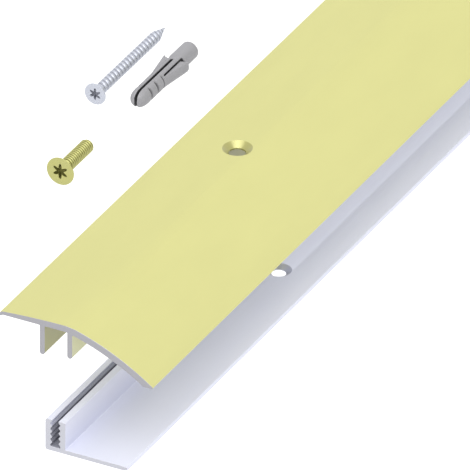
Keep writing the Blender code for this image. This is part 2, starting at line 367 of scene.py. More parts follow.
@dataclass(frozen=True)
class SawnFace:
    """Bare aluminium where the strip was cut to length, with the saw's fine marks."""

    name: str
    colour: Triple
    metallic: float = 0.6
    roughness: float = 0.38
    mark_mm: float = 0.12
    mark_stretch: float = 60.0
    mark_slant: float = 12.0
    mark_depth_mm: float = 0.005
    patch_mm: float = 1.6

    def material(self) -> bpy.types.Material:
        """Builds the cut face: slanting saw marks over slightly uneven bare metal."""
        cut = Shading(self.name)
        slant = {"Vector": cut.place, "Rotation": (0.0, math.radians(self.mark_slant), 0.0)}
        slanted = cut.node("ShaderNodeMapping", values=slant)[0]
        marks = cut.noise(self.mark_mm, (self.mark_stretch, 1.0, 1.0), place=slanted)
        patches = cut.noise(self.patch_mm, detail=3.0)
        return cut.surface(
            Base_Color=cut.scaled(self.colour, cut.varied(1.0, (marks, 0.10), (patches, 0.06))),
            Metallic=self.metallic,
            Roughness=cut.varied(self.roughness, (marks, 0.2)),
            Normal=cut.raised(marks, self.mark_depth_mm),
        )


@dataclass(frozen=True)
class MachinedSink:
    """Countersink that a rotating tool cut, smoother than the skin round it."""

    name: str
    colour: Triple
    metallic: float
    roughness: float
    polish: float = 0.9
    polish_roughness: float = 0.24
    grain_mm: float = 0.15
    grain_depth_mm: float = 0.002

    def material(self) -> bpy.types.Material:
        """Builds the turned surface: a fine grain and a slightly deeper tone."""
        turned = Shading(self.name)
        grain = turned.noise(self.grain_mm, detail=3.0)
        return turned.surface(
            Base_Color=turned.scaled(self.colour, turned.varied(1.0, (grain, 0.08))),
            Metallic=self.metallic,
            Roughness=turned.varied(self.roughness, (grain, 0.1)),
            Coat_Weight=self.polish,
            Coat_Roughness=self.polish_roughness,
            Normal=turned.raised(grain, self.grain_depth_mm),
        )


@dataclass(frozen=True)
class ZincPlate:
    """Plated and passivated steel, duller and with painted shade down in the thread and the recess.
    """

    name: str
    colour: Triple
    groove_shade_colour: Triple
    tint: Triple
    metallic: float
    roughness: float
    cloud_mm: float = 2.2
    pit_mm: float = 0.11
    pit_depth_mm: float = 0.004

    def material(self) -> bpy.types.Material:
        """Builds the plate: cloudy passivation, fine pits and shaded grooves."""
        plate = Shading(self.name)
        clouds = plate.noise(self.cloud_mm, detail=4.0)
        pits = plate.noise(self.pit_mm, detail=3.0)
        # Painted shade: the marked thread valleys and recess take the darker groove_shade_colour.
        sunk = plate.attribute("groove").eased(0.15, 1.0)
        cloudy = plate.mixed((clouds - 0.35).eased(0.0, 0.5) * 0.5, self.colour, self.tint)
        return plate.surface(
            Base_Color=plate.mixed(sunk, cloudy, self.groove_shade_colour),
            Metallic=self.metallic,
            Roughness=plate.varied(self.roughness, (pits, 0.14)) + sunk * 0.12,
            Normal=plate.raised(pits, self.pit_depth_mm),
        )


@dataclass(frozen=True)
class MouldedNylon:
    """Matte grey nylon with a faint flow pattern."""

    name: str
    colour: Triple
    # Painted shade: near black, laid where the surface lies below the plug's outer skin.
    hollow_shade_colour: Triple = (0.03, 0.03, 0.033)
    roughness: float = 0.52
    flow_mm: float = 1.4
    flow_stretch: float = 5.0
    skin_mm: float = 0.14
    skin_depth_mm: float = 0.012

    def material(self) -> bpy.types.Material:
        """Builds the plastic: flow streaks along the plug, a fine spark-eroded skin and painted
        shade in its hollows.
        """
        nylon = Shading(self.name)
        flow = nylon.noise(self.flow_mm, (1.0, self.flow_stretch, 1.0), detail=3.0)
        skin = nylon.noise(self.skin_mm, detail=3.0)
        grey = nylon.scaled(self.colour, nylon.varied(1.0, (flow, 0.14), (skin, 0.08)))
        return nylon.surface(
            Base_Color=nylon.mixed(nylon.attribute("hollow"), grey, self.hollow_shade_colour),
            Roughness=nylon.varied(self.roughness, (skin, 0.16)),
            Normal=nylon.raised(skin, self.skin_depth_mm),
        )


# --- Outlines and plain meshes ---


@dataclass(frozen=True)
class Corner:
    """A corner of an outline, in millimetres, with the radius that rounds it and its share of
    painted shade.
    """

    x: float
    z: float
    radius: float = 0.0
    grime: float = 0.0


def arc(
    centre: Point, half_width: float, half_height: float, start: float, end: float, steps: int
) -> list[Corner]:
    """Corners along a stretch of an ellipse.

    Args:
        centre: The ellipse's centre.
        half_width: Its half width.
        half_height: Its half height.
        start: The angle where the stretch starts, in degrees.
        end: The angle where it ends, in degrees.
        steps: How many straight steps it has.

    Returns:
        The corners, both ends with them.
    """
    turns = [math.radians(start + (end - start) * i / steps) for i in range(steps + 1)]
    x, z = centre
    return [Corner(x + half_width * math.cos(t), z + half_height * math.sin(t)) for t in turns]


@dataclass
class Outline:
    """A closed outline across the strip, listed anticlockwise as seen from the near end."""

    corners: list[Corner]
    steps: int = 6
    points: list[Vector] = field(default_factory=list)
    rub: list[float] = field(default_factory=list)
    grime: list[float] = field(default_factory=list)

    def __post_init__(self) -> None:
        """Rounds every corner that has a radius."""
        count = len(self.corners)
        for i, corner in enumerate(self.corners):
            self.round_off(self.corners[i - 1], corner, self.corners[(i + 1) % count])

    def round_off(self, before: Corner, corner: Corner, after: Corner) -> None:
        """Adds one corner's points, how much each gets rubbed in use and how much painted shade it
        carries.

        Args:
            before: The corner before it.
            corner: The corner itself.
            after: The corner after it.
        """
        here = Vector((corner.x, corner.z))
        if not corner.radius:
            self.points.append(here)
            self.rub.append(0.0)
            self.grime.append(corner.grime)
            return
        back = (Vector((before.x, before.z)) - here).normalized()
        ahead = (Vector((after.x, after.z)) - here).normalized()
        half = back.angle(ahead) / 2
        reach = corner.radius / math.tan(half)
        centre = here + (back + ahead).normalized() * corner.radius / math.sin(half)
        start = here + back * reach - centre
        sweep = math.pi - 2 * half
        outward = 1.0 if back.x * ahead.y - back.y * ahead.x < 0 else -1.0
        for step in range(self.steps + 1):
            turn = outward * sweep * step / self.steps
            self.points.append(centre + Matrix.Rotation(turn, 2) @ start)
            self.rub.append(max(outward, 0.0) * (1.0 - corner.grime))
            self.grime.append(corner.grime)

    def inset(self, index: int) -> Vector:
        """Way in from a point, for an inset of one on both edges that meet there."""
        here = self.points[index]
        before = (here - self.points[index - 1]).normalized()
        after = (self.points[(index + 1) % len(self.points)] - here).normalized()
        inward = Vector((-before.y - after.y, before.x + after.x))
        return inward / (1 + before.dot(after))

    def face(self, name: str) -> bpy.types.Object:
        """One flat face with the outline's shape, at the strip's middle, that looks along +Y.

        Args:
            name: The object's name.

        Returns:
            The face, with its insets, rubbed places and painted shade as attributes.
        """
        mesh = bpy.data.meshes.new(name)
        flat = [(p.x * MM, 0.0, p.y * MM) for p in self.points]
        mesh.from_pydata(flat, [], [tuple(reversed(range(len(flat))))])
        insets = [self.inset(i) for i in range(len(self.points))]
        flat_insets = [n for v in insets for n in (v.x, 0.0, v.y)]
        for label, kind, field_name, values in (
            ("inset", "FLOAT_VECTOR", "vector", flat_insets),
            ("rub", "FLOAT", "value", self.rub),
            ("grime", "FLOAT", "value", self.grime),
        ):
            mesh.attributes.new(label, kind, "POINT")
            mesh.attributes[label].data.foreach_set(field_name, values)
        return shown(name, mesh)


def shown(name: str, mesh: bpy.types.Mesh) -> bpy.types.Object:
    """Puts a mesh in the scene as an object at the origin."""
    made = bpy.data.objects.new(name, mesh)
    bpy.context.scene.collection.objects.link(made)
    return made


def turned(
    name: str,
    profile: Sequence[Point],
    segments: int,
    reach: Callable[[float, float, float], float] | None = None,
) -> bpy.types.Object:
    """Closed solid of revolution about Z.

    Args:
        name: The object's name.
        profile: Radius and height in millimetres, from the top to the bottom, both on the axis.
        segments: How many segments one turn has.
        reach: Changes a radius by its radius, height and angle, where the solid isn't quite round.

    Returns:
        The solid, with its normals outwards.
    """
    solid = bmesh.new()
    top = solid.verts.new((0.0, 0.0, profile[0][1] * MM))
    bottom = solid.verts.new((0.0, 0.0, profile[-1][1] * MM))
    rings = []
    for radius, height in profile[1:-1]:
        ring = []
        for i in range(segments):
            turn = 2 * math.pi * i / segments
            r = reach(radius, height, turn) if reach else radius
            place = (r * math.cos(turn) * MM, r * math.sin(turn) * MM, height * MM)
            ring.append(solid.verts.new(place))
        rings.append(ring)
    for i in range(segments):
        j = (i + 1) % segments
        solid.faces.new((top, rings[0][i], rings[0][j]))
        solid.faces.new((bottom, rings[-1][j], rings[-1][i]))
        for upper, lower in zip(rings, rings[1:]):
            solid.faces.new((upper[i], lower[i], lower[j], upper[j]))
    mesh = bpy.data.meshes.new(name)
    solid.to_mesh(mesh)
    solid.free()
    return shown(name, mesh)


def block(name: str, size: Triple, centre: Triple) -> bpy.types.Object:
    """Box with its size and centre in millimetres."""
    box = bmesh.new()
    bmesh.ops.create_cube(box, size=MM)
    bmesh.ops.scale(box, vec=size, verts=box.verts)
    bmesh.ops.translate(box, vec=[c * MM for c in centre], verts=box.verts)
    mesh = bpy.data.meshes.new(name)
    box.to_mesh(mesh)
    box.free()
    return shown(name, mesh)


def combined(target: bpy.types.Object, tool: bpy.types.Object, operation: str) -> None:
    """Adds an exact Boolean to a piece, with the tool kept out of the picture."""
    boolean = target.modifiers.new(tool.name, "BOOLEAN")
    boolean.operation = operation
    boolean.solver = "EXACT"
    boolean.object = tool


def plain_mesh(source: bpy.types.Object, name: str) -> bpy.types.Mesh:
    """What an object shows with all its modifiers, as a mesh of its own."""
    source_now = source.evaluated_get(bpy.context.evaluated_depsgraph_get())
    mesh = bpy.data.meshes.new_from_object(source_now)
    mesh.name = name
    return mesh


def welded(mesh: bpy.types.Mesh) -> bpy.types.Mesh:
    """Merges the doubled points that a Boolean may leave."""
    shell = bmesh.new()
    shell.from_mesh(mesh)
    bmesh.ops.remove_doubles(shell, verts=shell.verts, dist=WELD)
    shell.to_mesh(mesh)
    shell.free()
    return mesh


def finished(
    name: str, mesh: bpy.types.Mesh, body: str, node: str, crease: float
) -> None:
    """Shows a finished mesh, puts it on its body and hides the node that it stands for.

    Args:
        name: The piece's name.
        mesh: Its mesh, in its place.
        body: The body that it rides on.
        node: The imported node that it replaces.
        crease: The angle in degrees above which an edge stays crisp.
    """
    while mesh.materials[0] is None:
        mesh.materials.pop(index=0)
    mesh.shade_smooth()
    mesh.set_sharp_from_angle(angle=math.radians(crease))
    piece = shown(name, mesh)
    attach(piece, body)
    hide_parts(node)
    log.info("%s: %d faces on %s", name, len(mesh.polygons), body)


def discarded(*tools: bpy.types.Object) -> None:
    """Removes objects that only helped to make a piece."""
    for tool in tools:
        bpy.data.objects.remove(tool, do_unlink=True)


# --- Geometry Nodes ---


class ShapeTree(Graph):
    """A Geometry Nodes tree with named inputs, which a modifier gets by their identifiers."""

    def __init__(self, name: str, inputs: dict[str, str]) -> None:
        """Starts the tree.

        Args:
            name: The tree's name.
            inputs: The kind of socket of each named input.
        """
        tree = bpy.data.node_groups.new(name, "GeometryNodeTree")
        super().__init__(tree)
        tree.interface.new_socket("Geometry", in_out="INPUT", socket_type="NodeSocketGeometry")
        tree.interface.new_socket("Geometry", in_out="OUTPUT", socket_type="NodeSocketGeometry")
        self.identifiers = {
            label: tree.interface.new_socket(
                label, in_out="INPUT", socket_type=f"NodeSocket{kind}"
            ).identifier
            for label, kind in inputs.items()
        }
        self.given = self.node("NodeGroupInput")

    def xyz(self, vector: Socket) -> tuple[Socket, Socket, Socket]:
        """The three numbers of a vector."""
        parts = self.node("ShaderNodeSeparateXYZ", values={"Vector": vector})
        return parts["X"], parts["Y"], parts["Z"]

    def joined(self, x: Socket | float, y: Socket | float, z: Socket | float) -> Socket:
        """A vector of three numbers."""
        return self.node("ShaderNodeCombineXYZ", values={"X": x, "Y": y, "Z": z})["Vector"]

    def moved(self, shape: Socket, offset: Socket, selection: Socket | bool = True) -> Socket:
        """Shape with its selected points moved by an offset."""
        values = {"Geometry": shape, "Offset": offset, "Selection": selection}
        return self.node("GeometryNodeSetPosition", values=values)["Geometry"]

    def dressed(self, shape: Socket, finish: str, selection: Socket | bool = True) -> Socket:
        """Shape with a material input on its selected faces."""
        values = {"Geometry": shape, "Selection": selection, "Material": self.given[finish]}
        return self.node("GeometryNodeSetMaterial", values=values)["Geometry"]

    def ended(self, shape: Socket) -> None:
        """Makes a shape the tree's result."""
        self.node("NodeGroupOutput", values={"Geometry": shape})

    def put_on(self, target: bpy.types.Object, values: dict[str, object]) -> bpy.types.Modifier:
        """Adds the tree to an object as a modifier.

        Args:
            target: The object.
            values: What each named input gets.

        Returns:
            The modifier.
        """
        modifier = target.modifiers.new(self.tree.name, "NODES")
        modifier.node_group = self.tree
        for label, value in values.items():
            modifier[self.identifiers[label]] = value
        return modifier

    def realised(self, shape: Socket) -> Socket:
        """Shape with its instances made real."""
        return self.node("GeometryNodeRealizeInstances", values={"Geometry": shape})["Geometry"]

    def laid(self, shape: Socket, mark: str, share: Socket, turn: float) -> None:
        """Marks an upright piece, lays it in its place and makes it the tree's result.

        Args:
            shape: The piece, with its axis on Z.
            mark: The attribute that its finish reads.
            share: The attribute's value.
            turn: How far the piece turns about X, in radians.
        """
        marked = self.node(
            "GeometryNodeStoreNamedAttribute",
            {"data_type": "FLOAT", "domain": "POINT"},
            {"Geometry": shape, "Name": mark, "Value": share},
        )["Geometry"]
        put = {
            "Geometry": marked,
            "Translation": self.given["Place"],
            "Rotation": (turn, 0.0, 0.0),
        }
        placed = self.node("GeometryNodeTransform", values=put)["Geometry"]
        self.ended(self.dressed(self.realised(placed), "Finish"))


class StripTree(ShapeTree):
    """Draws a flat outline out along the strip, eases its cut ends and drills its row of holes."""

    def __init__(self) -> None:
        """Builds the tree."""
        sizes = dict.fromkeys(("Length", "End Chamfer", "Hole Pitch", "Hole Reach"), "Float")
        kinds = {"Hole Count": "Int", "First Hole": "Vector", "Hole Cutter": "Object"}
        finishes = dict.fromkeys(("Skin", "Underside", "Cut Face", "Hole Face"), "Material")
        super().__init__("extruded_strip", sizes | kinds | finishes)
        solid = self.extrusion()
        drilled = self.node(
            "GeometryNodeMeshBoolean",
            {"operation": "DIFFERENCE", "solver": "EXACT"},
            {"Mesh 1": solid, "Mesh 2": self.hole_row()},
        )["Mesh"]
        _, normal_y, normal_z = self.xyz(self.node("GeometryNodeInputNormal")["Normal"])
        skinned = self.dressed(self.realised(drilled), "Skin")
        # Faces that don't look upward take the Underside finish. On the cover that is a paler copy
        # of the skin, painted so that it throws less yellow light.
        skinned = self.dressed(skinned, "Underside", normal_z.below(0.05))
        cut = self.dressed(skinned, "Cut Face", normal_y.size().above(0.5) * self.at_an_end())
        self.ended(self.dressed(cut, "Hole Face", self.in_a_hole() * normal_z.size().below(0.9)))

    def extrusion(self) -> Socket:
        """The outline's two halves, drawn out to both ends from one face, and merged."""
        length, chamfer = self.given["Length"], self.given["End Chamfer"]
        start = self.moved(self.given["Geometry"], self.joined(0.0, chamfer - length / 2, 0.0))
        body = self.node(
            "GeometryNodeExtrudeMesh",
            {"mode": "FACES"},
            {
                "Mesh": start,
                "Offset": self.joined(0.0, length - chamfer * 2, 0.0),
                "Individual": False,
            },
        )
        far = self.eased_end(body["Mesh"], body["Top"], 1.0)
        flipped = self.node("GeometryNodeFlipFaces", values={"Mesh": start})["Mesh"]
        near = self.eased_end(flipped, True, -1.0)
        both = self.node("GeometryNodeJoinGeometry", values={"Geometry": far})
        self.tree.links.new(near.link, both.made.inputs["Geometry"])
        values = {"Geometry": both["Geometry"], "Distance": WELD}
        return self.node("GeometryNodeMergeByDistance", values=values)["Geometry"]

    def eased_end(self, shape: Socket, top: Socket | bool, way: float) -> Socket:
        """Adds one cut end: a last short length that draws in by the chamfer.

        Args:
            shape: The shape whose end it is.
            top: Which faces are its end.
            way: One at the far end and minus one at the near end.

        Returns:
            The shape with its end.
        """
        chamfer = self.given["End Chamfer"]
        outwards = self.joined(0.0, chamfer * way, 0.0)
        values = {"Mesh": shape, "Offset": outwards, "Individual": False}
        if isinstance(top, Socket):
            values["Selection"] = top
        last = self.node("GeometryNodeExtrudeMesh", {"mode": "FACES"}, values)
        kind = {"data_type": "FLOAT_VECTOR"}
        inset = self.node("GeometryNodeInputNamedAttribute", kind, {"Name": "inset"})["Attribute"]
        return self.moved(last["Mesh"], self.scaled(inset, chamfer), last["Top"])

    def hole_row(self) -> Socket:
        """One cutter for each hole, at an even pitch along the strip."""
        line = self.node(
            "GeometryNodeMeshLine",
            {"mode": "OFFSET"},
            {
                "Count": self.given["Hole Count"],
                "Start Location": self.given["First Hole"],
                "Offset": self.joined(0.0, self.given["Hole Pitch"], 0.0),
            },
        )["Mesh"]
        source = {"Object": self.given["Hole Cutter"]}
        cutter = self.node("GeometryNodeObjectInfo", values=source)["Geometry"]
        each = {"Points": line, "Instance": cutter}
        row = self.node("GeometryNodeInstanceOnPoints", values=each)["Instances"]
        return self.realised(row)

    def at_an_end(self) -> Socket:
        """Marks faces that lie within the chamfer of a cut end."""
        _, y, _ = self.xyz(self.node("GeometryNodeInputPosition")["Position"])
        return y.size().above(self.given["Length"] / 2 - self.given["End Chamfer"])

    def in_a_hole(self) -> Socket:
        """Marks faces whose middle lies within a hole's reach of that hole's axis."""
        x, y, _ = self.xyz(self.node("GeometryNodeInputPosition")["Position"])
        first_x, first_y, _ = self.xyz(self.given["First Hole"])
        pitch = self.given["Hole Pitch"]
        along = (((y - first_y) / pitch + 0.5).part() - 0.5) * pitch
        across = x - first_x
        return (across * across + along * along).below(self.given["Hole Reach"] ** 2.0)


class ThreadTree(ShapeTree):
    """Rolls a helical thread onto a turned blank and lays the screw in its place."""

    def __init__(self) -> None:
        """Builds the tree."""
        thread = ("Pitch", "Depth", "Crest", "Flank", "Start", "End", "Point", "Point Share")
        kinds = dict.fromkeys((*thread, "Recess", "Recess Depth"), "Float")
        super().__init__("rolled_thread", kinds | {"Place": "Vector", "Finish": "Material"})
        x, y, z = self.xyz(self.node("GeometryNodeInputPosition")["Position"])
        pitch, crest = self.given["Pitch"], self.given["Crest"]
        start, end, point = self.given["Start"], self.given["End"], self.given["Point"]
        below_face = 0.0 - z
        turn = self.maths("ARCTAN2", y, x) / (2 * math.pi)
        across = (((below_face / pitch) - turn).part() - 0.5).size() * 2.0
        ridge = 1.0 - across.eased(crest, crest + self.given["Flank"])
        run_in = below_face.eased(start, start + pitch)
        run_out = 1.0 - below_face.eased(point, end) * (1.0 - self.given["Point Share"])
        radius = (x * x + y * y) ** 0.5
        height = ridge * run_in * run_out
        spread = self.given["Depth"] * height / self.maths("MAXIMUM", radius, AXIS_CLEARANCE)
        rolled = self.moved(self.given["Geometry"], self.joined(x * spread, y * spread, 0.0))
        # Painted shade: the thread's valleys and the recess are marked, and the plate's finish
        # darkens them.
        sunk = below_face.above(END_CLEARANCE) * below_face.below(self.given["Recess Depth"])
        in_recess = sunk * radius.below(self.given["Recess"])
        in_thread = (1.0 - ridge) * run_in * below_face.below(end - END_CLEARANCE)
        shaded = self.maths("MAXIMUM", in_thread, in_recess)
        self.laid(rolled, "groove", shaded, math.pi / 2)


class PlugTree(ShapeTree):
    """Marks a plug's slit, bore and grip grooves for painted shade, and lays the plug in its place.
    """

    def __init__(self) -> None:
        """Builds the tree."""
        sizes = dict.fromkeys(("Radius", "Nose", "Fullness", "Length"), "Float")
        super().__init__("laid_plug", sizes | {"Place": "Vector", "Finish": "Material"})
        x, y, z = self.xyz(self.node("GeometryNodeInputPosition")["Position"])
        fullness = self.given["Fullness"]
        share = self.maths("MAXIMUM", 1.0 - z / self.given["Nose"], 0.0)
        full = self.maths("MAXIMUM", 1.0 - share**fullness, 0.0)
        # Painted shade: the deeper a point lies below the outer skin, in the bore, slit and grip
        # grooves, the darker it is painted.
        below_skin = self.given["Radius"] * full ** (1.0 / fullness) - (x * x + y * y) ** 0.5
        inside = z.above(0.25 * MM) * z.below(self.given["Length"] - 0.25 * MM)
        hollow = below_skin.eased(0.06 * MM, 0.45 * MM) * inside
        self.laid(self.given["Geometry"], "hollow", hollow, -math.pi / 2)


# --- Sub-assemblies ---


@dataclass
class HoleRow:
    """The strip's row of countersunk holes: one above each set of fasteners."""

    count: int = 5
    pitch: float = 200.0

    def first_y(self) -> float:
        """Where the first hole is along the strip, in millimetres."""
        return -self.pitch * (self.count - 1) / 2


@dataclass
class Countersink:
    """A through hole with a conical sink for a screw's head."""

    hole_radius: float
    sink_radius: float
    sink_depth: float
    thickness: float
    rim: float = 0.12
    segments: int = 72

    def cutter(self, name: str) -> bpy.types.Object:
        """Turns the cutter, with its origin on the plate's top face.

        Args:
            name: The cutter's name.

        Returns:
            The cutter.
        """
        spare = 1.5
        profile = [
            (0.0, spare),
            (self.sink_radius + self.rim, spare),
            (self.sink_radius + self.rim, 0.0),
            (self.sink_radius + self.rim * 0.3, -self.rim * 0.3),
            (self.sink_radius - self.rim * 0.6, -self.rim * 0.9),
            (self.hole_radius + self.rim * 0.3, -self.sink_depth + self.rim * 0.3),
            (self.hole_radius, -self.sink_depth - self.rim * 0.3),
            (self.hole_radius, -self.thickness - spare),
            (0.0, -self.thickness - spare),
        ]
        return turned(name, profile, self.segments)


@dataclass
class Profile:
    """An extrusion with a row of countersunk holes."""

    holes: HoleRow
    tree: StripTree
    end_chamfer: float = 0.06
    crease: float = 20.0

    def outline(self) -> Outline:
        """The section, which each profile draws."""
        raise NotImplementedError

    def drawn_out(
        self,
        name: str,
        length: float,
        sink: Countersink,
        hole: Triple,
        finishes: dict[str, bpy.types.Material],
    ) -> bpy.types.Mesh:
        """Draws the section out, drills it and dresses it.

        Args:
            name: The piece's name.
            length: The strip's length, in metres.
            sink: The shape of each hole.
            hole: Where the first hole meets the top face, in millimetres.
            finishes: The material of each of the tree's finishes.

        Returns:
            The piece's mesh.
        """
        cutter = sink.cutter(f"{name}_cutter")
        face = self.outline().face(f"{name}_outline")
        sizes = {
            "Length": length,
            "End Chamfer": self.end_chamfer * MM,
            "Hole Pitch": self.holes.pitch * MM,
            "Hole Reach": (sink.sink_radius + sink.rim) * MM,
            "Hole Count": self.holes.count,
            "First Hole": tuple(c * MM for c in hole),
            "Hole Cutter": cutter,
        }
        self.tree.put_on(face, sizes | finishes)
        mesh = plain_mesh(face, name)
        discarded(face, cutter)
        return mesh


@dataclass
class BaseProfile(Profile):
    """The base extrusion: a flange on the floor, and an upright channel with a toothed slot."""

    channel_width: float = 5.76
    channel_height: float = 9.2
    flange_reach: float = 20.75
    flange_thickness: float = 1.2
    slot_floor: float = 1.3
    slot_mean_gap: float = 2.36
    tooth_depth: float = 0.5
    tooth_pitch: float = 1.58
    tooth_count: int = 5
    lowest_valley: float = 1.72
    points_per_tooth: int = 12
    painted_shade_fade: float = 2.2
    hole_x: float = 9.36
    hole_stagger: float = 5.7
    skin: AnodisedExtrusion = AnodisedExtrusion(
        "natural_anodised", (0.575, 0.59, 0.725), (0.60, 0.61, 0.70), metallic=0.06, roughness=0.58
    )
    cut_face: SawnFace = SawnFace("sawn_natural_end", (0.435, 0.44, 0.485))
    hole_face: MachinedSink = MachinedSink(
        "machined_natural_sink", (0.42, 0.43, 0.50), 0.6, 0.3, polish=0.3
    )

    def slot_wall(self, side: int) -> list[Corner]:
        """One toothed wall of the slot, from its floor up.

        Args:
            side: Minus one for the left wall and one for the right.

        Returns:
            The wall's corners.
        """
        last_tip = self.lowest_valley + (self.tooth_count - 0.5) * self.tooth_pitch
        count = round((self.tooth_count - 0.5) * self.points_per_tooth)
        wall = []
        for i in range(count + 1):
            height = self.lowest_valley + i * (last_tip - self.lowest_valley) / count
            phase = 2 * math.pi * (height - self.lowest_valley) / self.tooth_pitch
            gap = self.slot_mean_gap + self.tooth_depth * math.cos(phase)
            # Painted shade: full at the slot's floor, fading out towards its mouth.
            grime = min(1.0, (self.channel_height - height) / self.painted_shade_fade) ** 2
            wall.append(Corner(side * gap / 2, height, grime=grime))
        floor = Corner(wall[0].x, self.slot_floor, 0.15, 1.0)
        mouth = Corner(wall[-1].x, self.channel_height, 0.12)
        return [floor, *wall, mouth]

    def outline(self) -> Outline:
        """The section: flange, channel walls and the slot between them."""
        half = self.channel_width / 2
        return Outline(
            [
                Corner(-half, 0.0, 0.6),
                Corner(self.flange_reach, 0.0, 0.12),
                Corner(self.flange_reach, self.flange_thickness, 0.2),
                Corner(half, self.flange_thickness, 0.25),
                Corner(half, self.channel_height, 0.18),
                *reversed(self.slot_wall(+1)),
                *self.slot_wall(-1),
                Corner(-half, self.channel_height, 0.6),
            ]
        )

    def build(self, length: float) -> None:
        """Makes the base and puts it on its body.

        Args:
            length: The strip's length, in metres.
        """
        sink = Countersink(1.9, 3.3, 1.0, self.flange_thickness)
        hole = (self.hole_x, self.holes.first_y() + self.hole_stagger, self.flange_thickness)
        skin = self.skin.material()
        finishes = {
            "Skin": skin,
            "Underside": skin,
            "Cut Face": self.cut_face.material(),
            "Hole Face": self.hole_face.material(),
        }
        mesh = self.drawn_out("slotted_base", length, sink, hole, finishes)
        finished(mesh.name, mesh, "base", "base_profile", self.crease)


@dataclass
class CoverProfile(Profile):
    """The cover extrusion: a flat wing, two webs and a ramp, with heights as it sits fully down."""

    wing_underside: float = 10.25
    crest_x: float = 3.0
    crest_height: float = 12.03
    wing_radius: float = 205.0
    wing_end_x: float = -14.93
    nose_reach: float = 1.42
    nose_drop: float = 1.03
    lip_radius: float = 0.35
    lip_rise: float = 0.25
    web_thickness: float = 1.42
    left_web_x: float = -3.1
    left_web_foot: float = 1.75
    right_web_x: float = 3.4
    right_web_foot: float = 2.65
    web_root: float = 0.3
    ramp_radius: float = 70.0
    ramp_centre: Point = (-13.18, -55.75)
    ramp_thickness: float = 2.0
    ramp_start_x: float = 5.6
    ramp_foot: float = 0.3
    tip_centre: Point = (27.7, 0.65)
    tip_radius: float = 0.35
    skin: AnodisedExtrusion = AnodisedExtrusion(
        "yellow_anodised", (0.49, 0.477, 0.193), (0.56, 0.56, 0.34), metallic=0.3, roughness=0.5
    )
    # Painted light: the same yellow anodising, paler and less yellow on every face that doesn't
    # look upward, so that these faces throw less yellow light onto the base below.
    underside: AnodisedExtrusion = AnodisedExtrusion(
        "yellow_anodised_underside",
        (0.53, 0.53, 0.34),
        (0.58, 0.58, 0.40),
        metallic=0.3,
        roughness=0.5,
    )
    cut_face: SawnFace = SawnFace("sawn_cover_end", (0.30, 0.297, 0.32))
    # Its darker yellow is partly the machined finish and partly painted shade on the countersink's
    # sides.
    hole_face: MachinedSink = MachinedSink("machined_yellow_sink", (0.34, 0.325, 0.10), 0.5, 0.3)

    def ramp(self, radius: float, from_x: float, to_x: float, steps: int) -> list[Corner]:
        """Corners on the ramp's arc between two places across the strip."""
        across = (from_x - self.ramp_centre[0], to_x - self.ramp_centre[0])
        ends = [math.degrees(math.acos(x / radius)) for x in across]
        return arc(self.ramp_centre, radius, radius, *ends, steps)

    def web(self, inner_x: float, outward: int, foot: float, roots: Point) -> list[Corner]:
        """One web, from the left to the right, with a round foot.

        Args:
            inner_x: The face that looks at the channel.
            outward: Minus one or one, away from the channel.
            foot: The height of its foot.
            roots: The heights where it meets the cover, on its left and its right.

        Returns:
            The web's corners.
        """
        radius = self.web_thickness / 2
        middle = inner_x + outward * radius
        round_foot = arc((middle, foot + radius), radius, radius, 180, 360, 14)
        left = Corner(middle - radius, roots[0], self.web_root)
        return [left, *round_foot, Corner(middle + radius, roots[1], self.web_root)]

    def outline(self) -> Outline:
        """The section, from the wing's lip under the webs and ramp, and back over the top."""
        under_radius = self.ramp_radius - self.ramp_thickness
        centre_x, centre_z = self.ramp_centre
        web_end = self.right_web_x + self.web_thickness
        under_right = centre_z + math.sqrt(under_radius**2 - (web_end - centre_x) ** 2)
        foot_x = centre_x + math.sqrt(under_radius**2 - (self.ramp_foot - centre_z) ** 2)
        tip_turn = math.atan2(self.tip_centre[1] - centre_z, self.tip_centre[0] - centre_x)
        tip = self.tip_radius
        tip_x = self.tip_centre[0] + tip * math.cos(tip_turn)
        wing_centre = (self.crest_x, self.crest_height - self.wing_radius)
        wing_reach = (self.crest_x - self.wing_end_x) / self.wing_radius
        wing_turn = 90 + math.degrees(math.asin(wing_reach))
        wing_end = wing_centre[1] + self.wing_radius * math.sin(math.radians(wing_turn))
        nose = (self.wing_end_x, wing_end - self.nose_drop)
        lip = (self.wing_end_x - self.nose_reach + self.lip_radius, nose[1])
        lip_end = lip[0] + 2 * self.lip_radius
        under = self.wing_underside
        return Outline(
            [
                *arc(lip, self.lip_radius, self.lip_radius, 180, 300, 8),
                Corner(lip_end, under - self.lip_rise / 3),
                Corner(lip_end + self.lip_rise, under),
                *self.web(self.left_web_x, -1, self.left_web_foot, (under, under)),
                *self.web(self.right_web_x, +1, self.right_web_foot, (under, under_right)),
                *self.ramp(under_radius, web_end, foot_x, 24)[1:],
                *arc(self.tip_centre, tip, tip, -90, math.degrees(tip_turn), 8),
                *self.ramp(self.ramp_radius, tip_x, self.ramp_start_x, 36)[1:],
                *arc(wing_centre, self.wing_radius, self.wing_radius, 90, wing_turn, 24),
                *arc(nose, self.nose_reach, self.nose_drop, 90, 180, 14)[1:-1],
            ]
        )

    def build(self, length: float, crest: float) -> None:
        """Makes the cover, lifted off the base, and puts it on its body.

        Args:
            length: The strip's length, in metres.
            crest: The height of the cover's crest where it floats, in metres.
        """
        sink = Countersink(2.25, 4.02, 1.4, self.crest_height - self.wing_underside)
        hole = (0.0, self.holes.first_y(), self.crest_height)
        finishes = {
            "Skin": self.skin.material(),
            "Underside": self.underside.material(),
            "Cut Face": self.cut_face.material(),
            "Hole Face": self.hole_face.material(),
        }
        mesh = self.drawn_out("ramped_cover", length, sink, hole, finishes)
        mesh.transform(Matrix.Translation((0.0, 0.0, crest - self.crest_height * MM)))
        finished(mesh.name, mesh, "cover", "cover_profile", self.crease)


